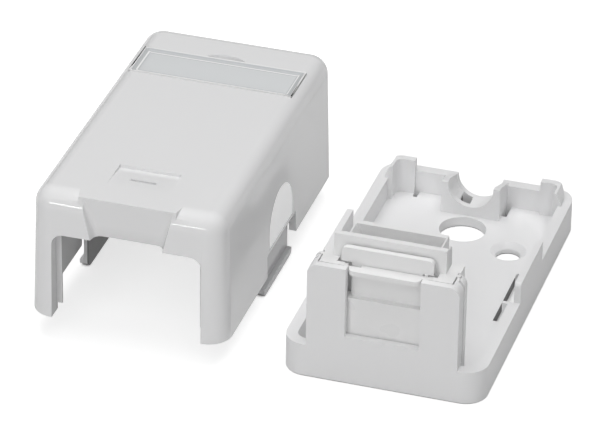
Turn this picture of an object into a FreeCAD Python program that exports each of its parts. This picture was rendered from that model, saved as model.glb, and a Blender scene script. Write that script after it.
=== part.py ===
"""Surface mount jack box: a wall base with its port tower, the lift-out port
frame and blanking plug, and the cover that clips over them, standing beside it.

Millimetres. The origin is the middle of the base's underside, +Z is away from
the wall, -Y is the side that the port faces, and the cover stands at -X.
"""
import FreeCAD, Part
import math
import os
import Sketcher
from types import SimpleNamespace

from FreeCAD import Vector

doc = FreeCAD.newDocument("surface_mount_jack_box")


# ---------------------------------------------------------------- dimensions
SIZES = {
    # Base tray: a shallow moulded tray with rounded corners
    "base_width": 40.0,
    "base_length": 72.3,
    "rim_height": 6.85,
    "floor_thickness": 2.0,
    "rim_thickness": 2.3,
    "corner_radius": 4.5,
    # Port tower at the front of the tray
    "tower_width": 29.8,
    "tower_height": 25.0,
    "tower_depth": 5.5,
    "tower_face": 1.4,
    "tower_side": 1.6,
    "tower_shoulder": 2.0,
    "window_width": 14.6,
    "window_sill": 10.2,
    # Vertical groove that guides the cover, and the rail that guides the frame
    "guide_from_face": 2.95,
    "guide_width": 0.75,
    "guide_depth": 1.1,
    "rail_from_face": 4.2,
    "rail_width": 1.0,
    "rail_depth": 0.6,
    # Latch pockets in both long walls
    "latch_from_face": 27.5,
    "latch_length": 17.8,
    "latch_inset": 0.2,
    "latch_thickness": 1.1,
    "latch_hook": 0.9,
    "latch_drop": 4.95,
    "hook_height": 1.4,
    "hook_undercut": 3.7,
    "latch_slot_reach": 5.3,
    "tab_from_face": 27.3,
    "tab_length": 16.9,
    "tab_height": 4.3,
    "tab_thickness": 1.3,
    "tab_overlap": 1.0,
    "tab_corner": 1.0,
    "stop_rib_reach": 1.1,
    "stop_rib_width": 0.8,
    # Rear corner posts
    "post_height": 9.6,
    "post_inner_x": 13.1,
    "post_setback": 1.7,
    "post_corner": 2.8,
    "post_length": 5.2,
    "post_thickness": 1.5,
    "post_slope_width": 1.0,
    "post_slope_drop": 1.9,
    # Cable saddle and the holes in the floor
    "saddle_width": 12.2,
    "saddle_depth": 8.4,
    "saddle_wall": 1.3,
    "saddle_height": 9.1,
    "saddle_notch_height": 8.8,
    "cable_radius": 4.7,
    "cable_height": 6.8,
    "trough_radius": 4.9,
    "entry_radius": 4.75,
    "entry_from_back": 13.7,
    "screw_radius": 2.5,
    "screw_head_radius": 3.6,
    "screw_x": 10.85,
    "screw_y": 17.2,
    "tie_slot_width": 1.0,
    "tie_slot_length": 4.0,
    "tie_eye_from_middle": 1.2,
    "tie_eye_width": 2.0,
    "tie_eye_length": 3.3,
    "core_hole_width": 0.9,
    "core_hole_length": 2.2,
    # Port frame
    "running_gap": 0.3,
    "slide_gap": 0.15,
    "catch_width": 22.0,
    "catch_thickness": 1.2,
    "catch_height": 29.9,
    "catch_from_face": 4.5,
    "ear_front": 1.6,
    "ear_width": 3.2,
    "ear_lip": 1.6,
    "ear_lip_depth": 1.2,
    "ear_rear": 8.7,
    "flange_width": 2.5,
    "bar_thickness": 1.0,
    "bar_drop": 0.1,
    "bar_setback": 0.05,
    "bar_rear": 2.7,
    "bar_corner": 1.2,
    "notch_outer": 7.5,
    "notch_inner": 4.9,
    "notch_depth": 0.8,
    "pocket_width": 18.2,
    "pocket_wall": 1.3,
    "pocket_rear": 13.2,
    "pocket_height": 28.2,
    "pocket_bottom": 8.0,
    "pocket_lead_width": 1.0,
    "pocket_lead_depth": 2.0,
    "strap_depth": 6.0,
    "spur_width": 1.0,
    "spur_length": 2.6,
    "spur_height": 24.8,
    "spur_drop": 9.0,
    # Blanking plug
    "plug_foot_width": 15.8,
    "plug_foot_setback": 0.05,
    "plug_foot_bottom": 9.4,
    "plug_step": 18.0,
    "plug_thickness": 1.2,
    "plug_neck_width": 13.9,
    "plug_head_width": 18.0,
    "plug_head_bottom": 25.2,
    "plug_head_top": 28.2,
    "plug_head_corner": 1.0,
    "jack_hole_width": 14.9,
    "jack_hole_top": 24.6,
    "skirt_length": 6.0,
    "skirt_wall": 1.1,
    "skirt_height": 12.6,
    # Cover shell
    "cover_height": 27.2,
    "cover_wall": 1.5,
    "cover_roof": 2.6,
    "cover_draft": 0.8,
    "cover_corner": 4.7,
    "cover_edge": 3.7,
    "cover_gap": 10.0,
    "cover_shift": -3.14,
    "opening_side_gap": 0.15,
    "opening_height": 18.4,
    "opening_corner": 2.4,
    "jamb_width": 1.4,
    "guide_rib_start": 1.6,
    "scoop_top_half": 9.3,
    "scoop_bottom_half": 7.1,
    "scoop_top_depth": 1.3,
    "scoop_depth": 2.75,
    "scoop_flare": 0.15,
    "scoop_round": 1.6,
    "scoop_top_round": 0.3,
    "scoop_wall": 1.5,
    "brow_half": 9.7,
    "brow_rear_half": 10.4,
    "brow_rear": 4.5,
    "tab_notch_rear_gap": 1.5,
    "latch_root": 12.0,
    "latch_root_width": 0.5,
    "latch_root_slope": 0.7,
    "latch_corner": 1.0,
    "arch_from_face": 28.8,
    "arch_width": 15.4,
    "arch_bottom": 4.8,
    "arch_height": 10.4,
    "arch_mark": 0.5,
    "label_width": 34.0,
    "label_depth": 10.5,
    "label_from_face": 51.0,
    "label_recess": 1.6,
    "label_gap": 0.15,
    "label_bevel_side": 1.6,
    "label_bevel_depth": 0.9,
    "label_field_drop": 0.5,
    "card_margin": 0.15,
    "label_proud": 0.1,
    "card_thickness": 0.25,
    "pry_radius": 6.05,
    "pry_reach": 1.7,
    "pry_depth": 1.0,
    "icon_width": 12.5,
    "icon_front": 7.7,
    "icon_rear": 15.3,
    "icon_depth": 0.6,
    "icon_slot_width": 5.2,
    "icon_slot_from_face": 10.5,
    "icon_slot_size": 0.7,
    "icon_slot_depth": 1.3,
}
# Flats that make up each rounded corner of the scoop
SCOOP_STEPS = 4


class Length:
    """A length that knows its value now and the expression it comes from."""

    def __init__(self, value, text):
        self.value = value
        self.text = text

    def __add__(self, other):
        other = length(other)
        return Length(self.value + other.value, f"({self.text} + {other.text})")

    def __sub__(self, other):
        other = length(other)
        return Length(self.value - other.value, f"({self.text} - {other.text})")

    def __mul__(self, factor):
        factor = length(factor)
        return Length(self.value * factor.value, f"({self.text} * {factor.text})")

    def __truediv__(self, divisor):
        return Length(self.value / divisor, f"({self.text} / {divisor})")

    def __neg__(self):
        return Length(-self.value, f"(-1 * {self.text})")


def length(amount):
    """A Length from a Length or a plain number."""
    if isinstance(amount, Length):
        return amount
    return Length(float(amount), f"({amount})")


sheet = doc.addObject("Spreadsheet::Sheet", "Sizes")
for row, (alias, value) in enumerate(SIZES.items(), start=1):
    sheet.set(f"A{row}", alias)
    sheet.set(f"B{row}", str(value))
    sheet.setAlias(f"B{row}", alias)
doc.recompute()
size = SimpleNamespace(
    **{alias: Length(value, f"Sizes.{alias}") for alias, value in SIZES.items()}
)


# ------------------------------------------------------------ sketch helpers
class Outline:
    """A sketch on one of a body's origin planes, at a level along that axis.

    On XY a sketch point is (X, Y), on XZ it is (X, Z) and on YZ it is (Y, Z).
    """

    def __init__(self, body, name, plane, level=0):
        self.body = body
        self.plane = plane
        self.level = length(level)
        self.sketch = body.newObject("Sketcher::SketchObject", name)
        for feature in body.Origin.OriginFeatures:
            if feature.Role == f"{plane}_Plane":
                self.sketch.AttachmentSupport = [(feature, "")]
        self.sketch.MapMode = "FlatFace"
        # The XZ plane's normal is -Y, so its level is turned round
        offset = -self.level if plane == "XZ" else self.level
        self.sketch.setExpression("AttachmentOffset.Base.z", offset.text)

    def drive(self, constraint, amount):
        """Add a constraint whose value follows an expression."""
        index = self.sketch.addConstraint(constraint)
        self.sketch.setExpression(f"Constraints[{index}]", amount.text)

    def pin(self, element, end, x, y):
        """Hold one point of an element at a place."""
        self.drive(Sketcher.Constraint("DistanceX", -1, 1, element, end, x.value), x)
        self.drive(Sketcher.Constraint("DistanceY", -1, 1, element, end, y.value), y)

    def join(self, one, one_end, other, other_end):
        self.sketch.addConstraint(
            Sketcher.Constraint("Coincident", one, one_end, other, other_end)
        )

    def shape(self, *corners):
        """A closed outline through corners (x, y) or (x, y, radius).

        A corner with a radius is a right angle between edges along the axes.
        """
        corners = [tuple(length(part) for part in corner) for corner in corners]
        stops = []
        for i, corner in enumerate(corners):
            x, y = corner[:2]
            if len(corner) == 2:
                stops.append([(x, y)])
                continue
            radius = corner[2]
            before = corners[i - 1]
            after = corners[(i + 1) % len(corners)]
            entry = toward(corner, before, radius)
            leave = toward(corner, after, radius)
            centre = (entry[0] + leave[0] - x, entry[1] + leave[1] - y)
            stops.append([entry, leave, centre, radius])
        first = self.sketch.GeometryCount
        pieces = []
        for i, stop in enumerate(stops):
            if len(stop) > 1:
                entry, leave, centre, radius = stop
                arc = self.sketch.addGeometry(corner_arc(entry, leave, centre, radius), False)
                pieces.append((arc, entry, leave, radius))
            start = stop[0] if len(stop) == 1 else stop[1]
            finish = stops[(i + 1) % len(stops)][0]
            line = self.sketch.addGeometry(Part.LineSegment(flat(start), flat(finish)), False)
            pieces.append((line, start, finish, None))
        for i, (element, start, finish, radius) in enumerate(pieces):
            following = pieces[(i + 1) % len(pieces)][0]
            if radius is None:
                self.pin(element, 1, *start)
                self.pin(element, 2, *finish)
                continue
            self.drive(Sketcher.Constraint("Radius", element, radius.value), radius)
            turn = arc_turns_left(start, finish, pieces[i - 1][1])
            self.join(element, 1 if turn else 2, pieces[i - 1][0], 2)
            self.join(element, 2 if turn else 1, following, 1)
        assert self.sketch.GeometryCount > first
        return self

    def box(self, x0, x1, y0, y1, radius=None):
        corners = [(x0, y0), (x1, y0), (x1, y1), (x0, y1)]
        if radius is not None:
            corners = [(x, y, radius) for x, y in corners]
        return self.shape(*corners)

    def both_sides(self, x0, x1, y0, y1):
        """The same box on both sides of the middle plane X = 0."""
        self.box(x0, x1, y0, y1)
        return self.box(-length(x1), -length(x0), y0, y1)

    def arch(self, x0, x1, y0, spring):
        """Two straight sides under a half circle."""
        x0, x1, y0, spring = (length(part) for part in (x0, x1, y0, spring))
        places = [(x0, spring), (x0, y0), (x1, y0), (x1, spring)]
        first = self.sketch.GeometryCount
        for start, finish in zip(places, places[1:]):
            self.sketch.addGeometry(Part.LineSegment(flat(start), flat(finish)), False)
        middle = (x0 + x1) / 2
        radius = (x1 - x0) / 2
        circle = Part.Circle(flat((middle, spring)), Vector(0, 0, 1), radius.value)
        top = self.sketch.addGeometry(Part.ArcOfCircle(circle, 0, math.pi), False)
        for i, start in enumerate(places[:-1]):
            self.pin(first + i, 1, *start)
            self.pin(first + i, 2, *places[i + 1])
        self.join(top, 1, first + 2, 2)
        self.join(top, 2, first, 1)
        self.drive(Sketcher.Constraint("DistanceY", -1, 1, top, 3, spring.value), spring)
        return self

    def circle(self, x, y, radius):
        x, y, radius = length(x), length(y), length(radius)
        circle = Part.Circle(flat((x, y)), Vector(0, 0, 1), radius.value)
        index = self.sketch.addGeometry(circle, False)
        self.pin(index, 3, x, y)
        self.drive(Sketcher.Constraint("Radius", index, radius.value), radius)
        return self


def flat(place):
    """A sketch point from a pair of lengths."""
    return Vector(place[0].value, place[1].value, 0)


def toward(corner, other, distance):
    """The point that lies a distance from a corner, along the axis to another."""
    x, y = corner[:2]
    step_x = other[0].value - x.value
    step_y = other[1].value - y.value
    if abs(step_x) > abs(step_y):
        return (x + distance if step_x > 0 else x - distance, y)
    return (x, y + distance if step_y > 0 else y - distance)


def arc_turns_left(entry, leave, before):
    """Whether the outline turns left as it rounds a corner."""
    come = flat(entry) - flat(before)
    go = flat(leave) - flat(entry)
    return come.cross(go).z > 0


def corner_arc(entry, leave, centre, radius):
    """The quarter circle between two points of a rounded corner."""
    middle = flat(centre)
    outward = (flat(entry) + flat(leave)) * 0.5 - middle
    outward.normalize()
    halfway = middle + outward * radius.value
    arc = Part.Arc(flat(entry), halfway, flat(leave))
    return arc


# ----------------------------------------------------------- feature helpers
def new_body(name):
    body = doc.addObject("PartDesign::Body", name)
    body.Label = name
    doc.recompute()
    return body


def volume(body):
    return body.Shape.Volume if body.Tip else 0.0


def pad(outline, far):
    """Add material between an outline's level and a farther level."""
    return thicken(outline, far, "PartDesign::Pad", outline.plane == "XZ")


def pocket(outline, far):
    """Take material away between an outline's level and a farther level."""
    return thicken(outline, far, "PartDesign::Pocket", outline.plane != "XZ")


def thicken(outline, far, kind, turned):
    body = outline.body
    before = volume(body)
    name = outline.sketch.Name.replace("_outline", "")
    feature = body.newObject(kind, name)
    feature.Profile = outline.sketch
    feature.Reversed = turned
    feature.setExpression("Length", (length(far) - outline.level).text)
    outline.sketch.Visibility = False
    doc.recompute()
    check_change(feature, before, kind)
    return feature


def check_change(feature, before, kind):
    """A feature that points away from its body would change nothing."""
    after = feature.Shape.Volume
    if "Pocket" in kind or "Subtractive" in kind:
        assert after < before - 0.001, f"{feature.Name} takes nothing away"
    else:
        assert after > before + 0.001, f"{feature.Name} adds nothing"


def blend_between(name, near, far, kind="PartDesign::AdditiveLoft"):
    """A straight-sided loft from one outline to another."""
    body = near.body
    before = volume(body)
    loft = body.newObject(kind, name)
    loft.Profile = near.sketch
    loft.Sections = [far.sketch]
    loft.Ruled = True
    near.sketch.Visibility = False
    far.sketch.Visibility = False
    doc.recompute()
    check_change(loft, before, kind)
    return loft


def edges_where(body, choose):
    """Names of the body's edges whose bounding box is chosen."""
    return [
        f"Edge{i}"
        for i, edge in enumerate(body.Shape.Edges, start=1)
        if choose(edge.BoundBox)
    ]


def round_edges(body, name, radius, choose):
    """Fillet the chosen edges of the body as it is now."""
    names = edges_where(body, choose)
    assert names, f"{name} finds no edge"
    fillet = body.newObject("PartDesign::Fillet", name)
    fillet.Base = (previous_tip(body, fillet), names)
    fillet.setExpression("Radius", radius.text)
    doc.recompute()
    return fillet


def bevel_edges(body, name, amount, choose):
    """Chamfer the chosen edges of the body as it is now."""
    names = edges_where(body, choose)
    assert names, f"{name} finds no edge"
    chamfer = body.newObject("PartDesign::Chamfer", name)
    chamfer.Base = (previous_tip(body, chamfer), names)
    chamfer.setExpression("Size", amount.text)
    doc.recompute()
    return chamfer


def previous_tip(body, feature):
    solid_features = [
        item for item in body.Group
        if item.isDerivedFrom("PartDesign::Feature") and item is not feature
        and item.Name != feature.Name
    ]
    return solid_features[-1]


# --------------------------------------------------------------- common lines
half_width = size.base_width / 2
front = -(size.base_length / 2)
back = size.base_length / 2
tower_half = size.tower_width / 2
bay_half = tower_half - size.tower_side
latch_start = front + size.latch_from_face
latch_finish = latch_start + size.latch_length
latch_outer = half_width - size.cover_wall - size.latch_inset
hook_tip = latch_outer + size.latch_hook
tab_start = front + size.tab_from_face
tab_finish = tab_start + size.tab_length


# ------------------------------------------------------------------ base tray
base = new_body("base_tray")

plate = Outline(base, "plate_outline", "XY", 0)
plate.box(-half_width, half_width, front, back, size.corner_radius)
pad(plate, size.rim_height)

well = Outline(base, "well_outline", "XY", size.floor_thickness)
well.box(
    -(half_width - size.rim_thickness), half_width - size.rim_thickness,
    front + size.rim_thickness, back - size.rim_thickness,
    size.corner_radius - size.rim_thickness,
)
pocket(well, size.rim_height)

tower = Outline(base, "tower_outline", "XZ", front)
tower.shape(
    (-tower_half, 0), (tower_half, 0),
    (tower_half, size.tower_height, size.tower_shoulder),
    (-tower_half, size.tower_height, size.tower_shoulder),
)
pad(tower, front + size.tower_depth)

bay = Outline(base, "bay_outline", "XY", size.floor_thickness)
bay.box(
    -bay_half, bay_half,
    front + size.tower_face, front + size.tower_depth + size.tower_face,
)
pocket(bay, size.tower_height)

window = Outline(base, "port_window_outline", "XZ", front - 1)
window.box(
    -(size.window_width / 2), size.window_width / 2,
    size.window_sill, size.tower_height + 1,
)
pocket(window, front + size.tower_depth)

# The cover's ribs slide down the outside of the tower
guides = Outline(base, "cover_guides_outline", "XY", size.rim_height)
guide_front = front + size.guide_from_face
guides.both_sides(
    tower_half - size.guide_depth, tower_half + 1,
    guide_front, guide_front + size.guide_width,
)
pocket(guides, size.tower_height)

# The port frame's tongues slide down the inside
rails = Outline(base, "frame_rails_outline", "XY", size.floor_thickness)
rail_front = front + size.rail_from_face
rails.both_sides(
    bay_half - 1, bay_half + size.rail_depth,
    rail_front, rail_front + size.rail_width,
)
pocket(rails, size.tower_height)

# Latch slots through the floor, undercut for the cover's hooks
slots = Outline(base, "latch_slots_outline", "XY", 0)
slots.both_sides(
    half_width - size.latch_slot_reach, half_width - size.tab_thickness,
    latch_start - size.running_gap, latch_finish + size.running_gap,
)
pocket(slots, size.rim_height)

undercuts = Outline(base, "latch_undercuts_outline", "XY", 0)
undercuts.both_sides(
    half_width - size.latch_slot_reach,
    hook_tip + size.slide_gap,
    latch_start - size.running_gap, latch_finish + size.running_gap,
)
pocket(undercuts, size.hook_undercut)

tabs = Outline(base, "latch_tabs_outline", "XY", size.rim_height - size.tab_overlap)
tabs.both_sides(half_width - size.tab_thickness, half_width, tab_start, tab_finish)
pad(tabs, size.rim_height + size.tab_height)


def is_tab_end(box):
    """The upper front edge of either tab."""
    along_x = box.YLength < 0.001 and box.ZLength < 0.001
    at_front = abs(box.YMin - tab_start.value) < 0.001
    return along_x and at_front and box.ZMin > SIZES["rim_height"] + 1


round_edges(base, "tab_ends", size.tab_corner, is_tab_end)

ribs = Outline(base, "stop_ribs_outline", "XY", size.floor_thickness)
ribs.both_sides(
    half_width - size.rim_thickness - size.stop_rib_reach,
    half_width - size.rim_thickness / 2,
    tab_start - size.stop_rib_width, tab_start,
)
pad(ribs, size.rim_height)

# Cable saddle on the rear wall: a box with sloping sides, notched at both ends
saddle_half = size.saddle_width / 2
saddle_front = back - size.saddle_depth
saddle = Outline(base, "saddle_outline", "YZ", -saddle_half)
saddle.shape(
    (saddle_front, size.floor_thickness),
    (back - size.rim_thickness / 2, size.floor_thickness),
    (back - size.rim_thickness / 2, size.rim_height),
    (saddle_front + size.saddle_wall, size.saddle_height),
    (saddle_front, size.saddle_height),
)
pad(saddle, saddle_half)

trough_front = saddle_front + size.saddle_wall
trough_rear = back - size.saddle_wall
trough_height = size.cable_height + size.trough_radius - size.cable_radius
trough = Outline(base, "trough_outline", "XZ", trough_front)
trough.circle(0, trough_height, size.trough_radius)
pocket(trough, trough_rear)

trough_mouth = Outline(base, "trough_mouth_outline", "XY", trough_height)
trough_mouth.box(-size.trough_radius, size.trough_radius, trough_front, trough_rear)
pocket(trough_mouth, size.saddle_height)

rear_notch = Outline(base, "rear_notch_outline", "XZ", trough_rear - size.saddle_wall)
rear_notch.circle(0, size.cable_height, size.cable_radius)
pocket(rear_notch, back + 1)

front_notch = Outline(base, "saddle_notch_outline", "XZ", saddle_front - 1)
front_notch.circle(0, size.saddle_notch_height, size.cable_radius)
pocket(front_notch, trough_front + size.saddle_wall)

# Posts that steady the cover's rear corners
post_outer_x = half_width - size.post_setback
post_outer_y = back - size.post_setback
post_inner = size.post_corner - size.post_thickness
for side, mark in ((1, "right"), (-1, "left")):
    post = Outline(base, f"post_{mark}_outline", "XY", size.floor_thickness)
    near_x = size.post_inner_x * side
    far_x = post_outer_x * side
    wall_x = (post_outer_x - size.post_thickness) * side
    post.shape(
        (near_x, post_outer_y - size.post_thickness),
        (near_x, post_outer_y),
        (far_x, post_outer_y, size.post_corner),
        (far_x, post_outer_y - size.post_length),
        (wall_x, post_outer_y - size.post_length),
        (wall_x, post_outer_y - size.post_thickness, post_inner),
    )
    pad(post, size.post_height)

slope_inner = post_outer_x - size.post_slope_width
slope_foot = size.post_height - size.post_slope_drop
for side, mark in ((1, "right"), (-1, "left")):
    slope = Outline(
        base, f"post_slope_{mark}_outline", "XZ", post_outer_y - size.post_length,
    )
    slope.shape(
        (slope_inner * side, size.post_height),
        (post_outer_x * side, slope_foot),
        ((post_outer_x + 1) * side, slope_foot),
        ((post_outer_x + 1) * side, size.post_height + 1),
        (slope_inner * side, size.post_height + 1),
    )
    pocket(slope, post_outer_y)

# Holes through the floor
entry = Outline(base, "cable_entry_outline", "XY", 0)
entry.circle(0, back - size.entry_from_back, size.entry_radius)
pocket(entry, size.floor_thickness)

screws = Outline(base, "screw_holes_outline", "XY", 0)
screws.circle(size.screw_x, size.screw_y, size.screw_radius)
screws.circle(-size.screw_x, -size.screw_y, size.screw_radius)
pocket(screws, size.floor_thickness)

# A cable tie comes up through the eye in the trough and down beside the saddle
ties = Outline(base, "tie_slot_outline", "XY", 0)
ties.box(
    saddle_half, saddle_half + size.tie_slot_width,
    back - size.rim_thickness - size.tie_slot_length, back - size.rim_thickness,
)
pocket(ties, size.floor_thickness)

eye = Outline(base, "tie_eye_outline", "XY", 0)
eye.box(
    -(size.tie_eye_from_middle + size.tie_eye_width), -size.tie_eye_from_middle,
    trough_rear - size.tie_eye_length, trough_rear,
)
pocket(eye, size.saddle_height / 2)

core = Outline(base, "core_hole_outline", "XY", 0)
core.box(
    -size.post_inner_x, -size.post_inner_x + size.core_hole_width,
    back - size.rim_thickness - size.core_hole_length, back - size.rim_thickness,
)
pocket(core, size.floor_thickness)


def is_screw_rim(box):
    """The top rim of either screw hole."""
    round_size = abs(box.XLength - 2 * SIZES["screw_radius"]) < 0.01
    on_floor = abs(box.ZMin - SIZES["floor_thickness"]) < 0.001
    return round_size and on_floor and box.ZLength < 0.001


bevel_edges(
    base, "screw_countersinks", size.screw_head_radius - size.screw_radius, is_screw_rim,
)


# ----------------------------------------------------------------- port frame
# Lifts out of the tower; holds the jack opening and its retaining pocket
frame = new_body("port_frame")
floor = size.floor_thickness
ear_outer = bay_half - size.running_gap
ear_inner = ear_outer - size.ear_width
ear_front = front + size.ear_front
catch_front = front + size.catch_from_face
catch_rear = catch_front + size.catch_thickness
frame_top = size.tower_height
bar_rear = front + size.bar_rear
catch_half = size.catch_width / 2

ears = Outline(frame, "ears_outline", "XY", floor)
ears.both_sides(ear_inner, ear_outer, ear_front, catch_rear)
pad(ears, frame_top)

catch_wall = Outline(frame, "catch_wall_outline", "XZ", catch_front)
catch_wall.box(-catch_half, catch_half, floor, size.catch_height)
pad(catch_wall, catch_rear)

cross = Outline(frame, "cross_member_outline", "XY", floor)
cross.box(-ear_inner, ear_inner, ear_front, catch_front)
pad(cross, size.plug_foot_bottom)

ear_lips = Outline(frame, "ear_lips_outline", "XY", floor)
ear_lips.both_sides(
    ear_inner - size.ear_lip, ear_inner, ear_front, ear_front + size.ear_lip_depth,
)
pad(ear_lips, frame_top)

tongues = Outline(frame, "tongues_outline", "XY", floor)
tongues.both_sides(
    ear_outer, bay_half + size.rail_depth - size.slide_gap,
    rail_front + size.slide_gap, rail_front + size.rail_width - size.slide_gap,
)
pad(tongues, frame_top)

flanges = Outline(frame, "flanges_outline", "XY", floor)
flanges.both_sides(
    catch_half, catch_half + size.flange_width, catch_rear, front + size.ear_rear,
)
pad(flanges, frame_top)

bar_top = size.tower_height - size.bar_drop
bar = Outline(frame, "top_bar_outline", "XY", bar_top - size.bar_thickness)
bar_half = size.window_width / 2 - size.running_gap
bar_front = front + size.bar_setback
bar.shape(
    (-bar_half, bar_front, size.bar_corner),
    (bar_half, bar_front, size.bar_corner),
    (bar_half, ear_front),
    (ear_outer, ear_front),
    (ear_outer, bar_rear),
    (-size.notch_inner, bar_rear),
    (-size.notch_inner, bar_rear - size.notch_depth),
    (-size.notch_outer, bar_rear - size.notch_depth),
    (-size.notch_outer, bar_rear),
    (-ear_outer, bar_rear),
    (-ear_outer, ear_front),
    (-bar_half, ear_front),
)
pad(bar, bar_top)

pocket_half = size.pocket_width / 2
pocket_rear = front + size.pocket_rear
cheeks = Outline(frame, "pocket_cheeks_outline", "XY", size.pocket_bottom)
cheeks.both_sides(
    pocket_half - size.pocket_wall, pocket_half, catch_rear, pocket_rear,
)
pad(cheeks, size.pocket_height)

strap = Outline(frame, "pocket_strap_outline", "XY", size.pocket_height - size.strap_depth)
strap.box(
    -pocket_half, pocket_half, pocket_rear - size.catch_thickness, pocket_rear,
)
pad(strap, size.pocket_height)

lead_in = Outline(frame, "lead_in_outline", "XZ", catch_rear)
cheek_inner = pocket_half - size.pocket_wall
lead_in.shape(
    (cheek_inner - 1, size.pocket_height - size.pocket_lead_depth),
    (cheek_inner, size.pocket_height - size.pocket_lead_depth),
    (cheek_inner + size.pocket_lead_width, size.pocket_height),
    (cheek_inner + size.pocket_lead_width, size.pocket_height + 1),
    (cheek_inner - 1, size.pocket_height + 1),
)
lead_in.shape(
    (-cheek_inner + 1, size.pocket_height - size.pocket_lead_depth),
    (-cheek_inner, size.pocket_height - size.pocket_lead_depth),
    (-cheek_inner - size.pocket_lead_width, size.pocket_height),
    (-cheek_inner - size.pocket_lead_width, size.pocket_height + 1),
    (-cheek_inner + 1, size.pocket_height + 1),
)
pocket(lead_in, pocket_rear - size.catch_thickness)

spur_inner = pocket_half - size.spur_width
spur_rear = pocket_rear + size.spur_length
spurs = Outline(frame, "spurs_outline", "XY", size.spur_height - size.spur_drop)
spurs.both_sides(spur_inner, pocket_half, pocket_rear, spur_rear)
pad(spurs, size.spur_height)

opening = Outline(frame, "jack_opening_outline", "XZ", catch_front - size.slide_gap)
opening.box(
    -(size.jack_hole_width / 2), size.jack_hole_width / 2,
    size.plug_foot_bottom, size.jack_hole_top,
)
pocket(opening, catch_rear)


def is_spur_tip(box):
    """The upper rear edge of either spur."""
    along_x = box.YLength < 0.001 and box.ZLength < 0.001
    at_rear = abs(box.YMin - spur_rear.value) < 0.001
    return along_x and at_rear and abs(box.ZMin - SIZES["spur_height"]) < 0.001


round_edges(frame, "spur_tips", size.spur_length / 2, is_spur_tip)


# -------------------------------------------------------------- blanking plug
plug = new_body("blanking_plug")
plug_rear = catch_front - size.slide_gap * 3
neck_front = plug_rear - size.plug_thickness
plug_foot_half = size.plug_foot_width / 2
plug_neck_half = size.plug_neck_width / 2
plug_head_half = size.plug_head_width / 2

foot = Outline(plug, "plug_foot_outline", "XZ", ear_front + size.plug_foot_setback)
foot.box(-plug_foot_half, plug_foot_half, size.plug_foot_bottom, size.plug_step)
pad(foot, plug_rear)

neck = Outline(plug, "plug_neck_outline", "XZ", neck_front)
neck.box(-plug_neck_half, plug_neck_half, size.plug_foot_bottom, size.plug_head_top)
pad(neck, plug_rear)

head = Outline(plug, "plug_head_outline", "XZ", neck_front)
head.shape(
    (-plug_head_half, size.plug_head_bottom),
    (plug_head_half, size.plug_head_bottom),
    (plug_head_half, size.plug_head_top, size.plug_head_corner),
    (-plug_head_half, size.plug_head_top, size.plug_head_corner),
)
pad(head, plug_rear)

skirt_half = size.jack_hole_width / 2 - size.running_gap
skirt_foot = size.plug_foot_bottom + size.running_gap
skirt_top = skirt_foot + size.skirt_height
skirt = Outline(plug, "plug_skirt_outline", "XZ", plug_rear - size.plug_thickness / 2)
skirt.box(-skirt_half, skirt_half, skirt_foot, skirt_top)
pad(skirt, plug_rear + size.skirt_length)

hollow = Outline(plug, "plug_hollow_outline", "XZ", plug_rear)
hollow.box(
    -(skirt_half - size.skirt_wall), skirt_half - size.skirt_wall,
    skirt_foot + size.skirt_wall, skirt_top - size.skirt_wall,
)
pocket(hollow, plug_rear + size.skirt_length)


# ---------------------------------------------------------------- cover shell
# Drawn over its own foot, with its wall ends at height 0
cover = new_body("cover_shell")
top_half = half_width - size.cover_draft
roof_under = size.cover_height - size.cover_roof
wall_corner = size.cover_corner - size.cover_wall

foot_line = Outline(cover, "cover_foot_outline", "XY", 0)
foot_line.box(-half_width, half_width, front, back, size.cover_corner)
block = pad(foot_line, size.cover_height)

draft = cover.newObject("PartDesign::Draft", "cover_draft")
sides = []
for i, face in enumerate(block.Shape.Faces, start=1):
    if face.BoundBox.ZLength > 1:
        sides.append(f"Face{i}")
    elif face.BoundBox.ZMax < 0.001:
        draft.NeutralPlane = (block, [f"Face{i}"])
draft.Base = (block, sides)
draft.setExpression("Angle", "atan(Sizes.cover_draft / Sizes.cover_height)")
doc.recompute()
check_change(draft, block.Shape.Volume, "Subtractive")


def is_top_rim(box):
    """The edges around the top of the cover."""
    return box.ZLength < 0.001 and abs(box.ZMin - SIZES["cover_height"]) < 0.001


round_edges(cover, "cover_edge_round", size.cover_edge, is_top_rim)

inner_foot = Outline(cover, "inside_foot_outline", "XY", 0)
inner_foot.box(
    -(half_width - size.cover_wall), half_width - size.cover_wall,
    front + size.cover_wall, back - size.cover_wall, wall_corner,
)
inner_top = Outline(cover, "inside_top_outline", "XY", roof_under)
inner_top.box(
    -(top_half - size.cover_wall), top_half - size.cover_wall,
    front + size.cover_wall + size.cover_draft,
    back - size.cover_wall - size.cover_draft, wall_corner,
)
blend_between("cover_inside", inner_foot, inner_top, "PartDesign::SubtractiveLoft")

# Walls behind the front opening and behind the scoop
opening_half = tower_half + size.opening_side_gap
jamb_rear = guide_front + size.guide_width - size.slide_gap
jambs = Outline(cover, "jambs_outline", "XZ", front + size.cover_wall / 2)
jambs.shape(
    (-(opening_half + size.jamb_width), 0), (opening_half + size.jamb_width, 0),
    (
        opening_half + size.jamb_width, size.opening_height + size.jamb_width,
        size.opening_corner + size.jamb_width,
    ),
    (
        -(opening_half + size.jamb_width), size.opening_height + size.jamb_width,
        size.opening_corner + size.jamb_width,
    ),
)
pad(jambs, jamb_rear)

scoop_back = Outline(cover, "scoop_back_outline", "XZ", front + size.cover_wall)
scoop_back.shape(
    (-(size.scoop_bottom_half + size.scoop_wall), size.opening_height),
    (size.scoop_bottom_half + size.scoop_wall, size.opening_height),
    (size.scoop_top_half + size.scoop_wall, roof_under + size.cover_roof / 2),
    (-(size.scoop_top_half + size.scoop_wall), roof_under + size.cover_roof / 2),
)
pad(scoop_back, front + size.scoop_depth + size.scoop_wall)

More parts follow.
